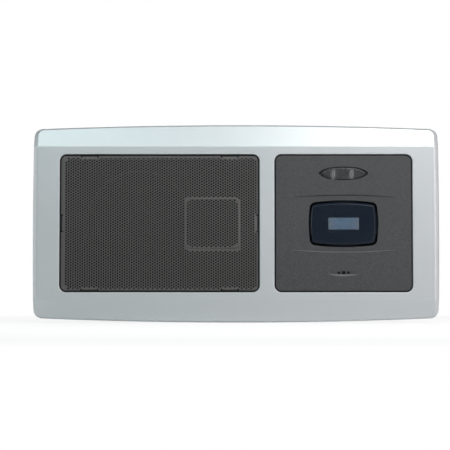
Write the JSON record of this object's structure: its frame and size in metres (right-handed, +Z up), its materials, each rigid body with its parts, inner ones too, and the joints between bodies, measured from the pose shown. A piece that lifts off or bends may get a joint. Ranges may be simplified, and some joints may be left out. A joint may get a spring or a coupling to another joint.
{
  "type": "door intercom station",
  "caption": "wide wall-mounted door intercom station with a silver face frame, a black perforated speaker grille and a dark control panel with a lit call button",
  "frame": {"origin": "centre of the wall-screw pattern, on the wall's surface", "axes": "+X across the face to the right as the face is read, +Z up, the face looks along -Y and the wall is at Y 0"},
  "size_m": [0.252, 0.0405, 0.123],
  "materials": {
    "silver_frame": "satin silver coat",
    "black_grille": "satin black powder coat",
    "black_moulding": "fine texture",
    "plated_steel": "zinc plate",
    "cone": "moulded film",
    "coil_wire": "enamelled wire",
    "magnet": "ground ferrite",
    "panel_moulding": "fine grained texture",
    "smoked_lens": "smoked, polished",
    "lamp": "clear lamp",
    "button_cap": "polished dark blue",
    "button_window": "frosted light blue",
    "pad_rubber": "grey silicone rubber",
    "pill": "carbon-filled rubber",
    "board": "solder resist",
    "terminal_moulding": "green moulding",
    "chip": "moulded",
    "can": "bright can",
    "black_rubber": "black rubber"
  },
  "bodies": {
    "station": {"front_frame": "silver_frame", "speaker_grille": "black_grille", "speaker_baffle": "black_moulding", "speaker_basket": "plated_steel", "speaker_diaphragm": "cone", "speaker_voice_coil": "coil_wire", "speaker_magnet_pot": "plated_steel", "speaker_magnet": "magnet", "speaker_pole_plate": "plated_steel", "control_panel": "panel_moulding", "status_lens": "smoked_lens", "status_lamps": "lamp", "button_lamp": "lamp", "button_return_pad": "pad_rubber", "circuit_board": "board", "terminal_block": "terminal_moulding", "terminal_screws": "plated_steel", "amplifier_chip": "chip", "smoothing_cans": "can", "microphone": "can", "microphone_boot": "black_rubber", "rear_housing": "black_moulding", "housing_screws": "plated_steel", "mounting_frame": "plated_steel", "wall_gasket": "black_rubber", "lock_screws": "plated_steel"},
    "call_button": {"call_button": "button_cap", "button_window": "button_window", "contact_pills": "pill"}
  },
  "joints": [
    {"name": "button_press", "type": "slide", "parent": "station", "child": "call_button", "axis": [0, 1, 0], "range_m": [0, 0.0012], "stiffness_N_per_m": 800, "springref_m": -0.002, "deforming": ["button_return_pad"]}
  ]
}
